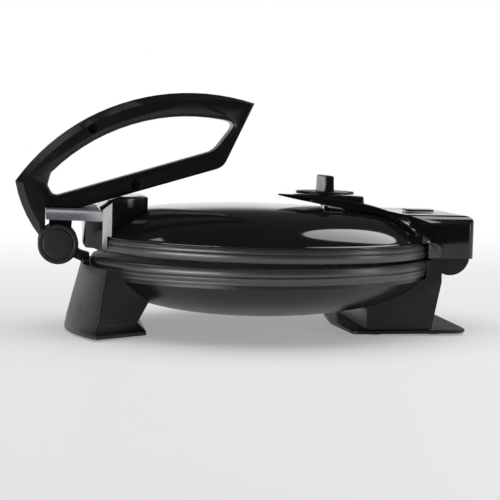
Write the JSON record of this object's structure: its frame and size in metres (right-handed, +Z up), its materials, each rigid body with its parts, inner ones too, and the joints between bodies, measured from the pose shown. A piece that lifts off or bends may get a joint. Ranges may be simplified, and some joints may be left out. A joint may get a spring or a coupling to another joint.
{
  "type": "electric flatbread maker",
  "caption": "Countertop flatbread maker: round hotplates in a bowl and a hinged glossy dome, a folding D-shaped press handle, a thermostat dial on a rear arm, feet front and back.",
  "frame": {"origin": "middle of the bounding box, at the table", "axes": "+Z up; the press handle toward -Y, the lid's hinge toward +Y; both hinge axes along X"},
  "size_m": [0.2712, 0.3542, 0.1866],
  "materials": {
    "cast": "dark non-stick coating on a cast plate, satin",
    "bowl": "semi-gloss dark enamel",
    "gloss_metal": "high-gloss black enamel",
    "gloss": "high-gloss black",
    "satin": "satin black",
    "handle": "satin black",
    "cap": "matte black",
    "knob": "satin black",
    "steel": "plain steel",
    "foil": "bright sheet",
    "rubber": "matte black rubber",
    "ceramic": "unglazed ceramic",
    "lens": "smoked lens",
    "red": "red lamp",
    "green": "green lamp"
  },
  "bodies": {
    "base": {"base_bowl": "bowl", "lower_hotplate": "cast", "lower_element": "steel", "lower_heat_shield": "foil", "terminal_block": "ceramic", "front_foot": "satin", "front_yoke": "satin", "rear_foot": "satin", "rear_sole_plate": "satin", "pad_front_near": "rubber", "pad_front_far": "rubber", "pad_rear_near_front": "rubber", "pad_rear_far_front": "rubber", "pad_rear_near_back": "rubber", "pad_rear_far_back": "rubber", "hinge_pin_near": "steel", "hinge_pin_far": "steel", "lead_grommet": "rubber"},
    "lid": {"lid_dome": "gloss_metal", "upper_hotplate": "cast", "upper_element": "steel", "upper_heat_shield": "foil", "thermostat_body": "ceramic", "front_bracket": "gloss", "rear_housing": "gloss", "indicator_lens": "lens", "power_lamp": "red", "ready_lamp": "green", "pivot_pin": "steel"},
    "press_handle": {"handle_shell_near": "handle", "handle_shell_far": "handle", "handle_screw_upper": "steel", "handle_screw_lower": "steel", "hub_cap_near": "cap", "hub_cap_far": "cap"},
    "dial": {"thermostat_knob": "knob", "thermostat_shaft": "steel"}
  },
  "joints": [
    {"name": "lid_hinge", "type": "hinge", "parent": "base", "child": "lid", "pos_m": [0, 0.15813, 0.0625], "axis": [-1, 0, 0], "range_deg": [0, 100]},
    {"name": "handle_pivot", "type": "hinge", "parent": "lid", "child": "press_handle", "pos_m": [0, -0.14412, 0.06788], "axis": [1, 0, 0], "range_deg": [0, 140]},
    {"name": "dial_turn", "type": "hinge", "parent": "lid", "child": "dial", "pos_m": [0, 0.06928, 0.10712], "axis": [0, 0.0148, 0.9999], "range_deg": [-135, 135]}
  ]
}
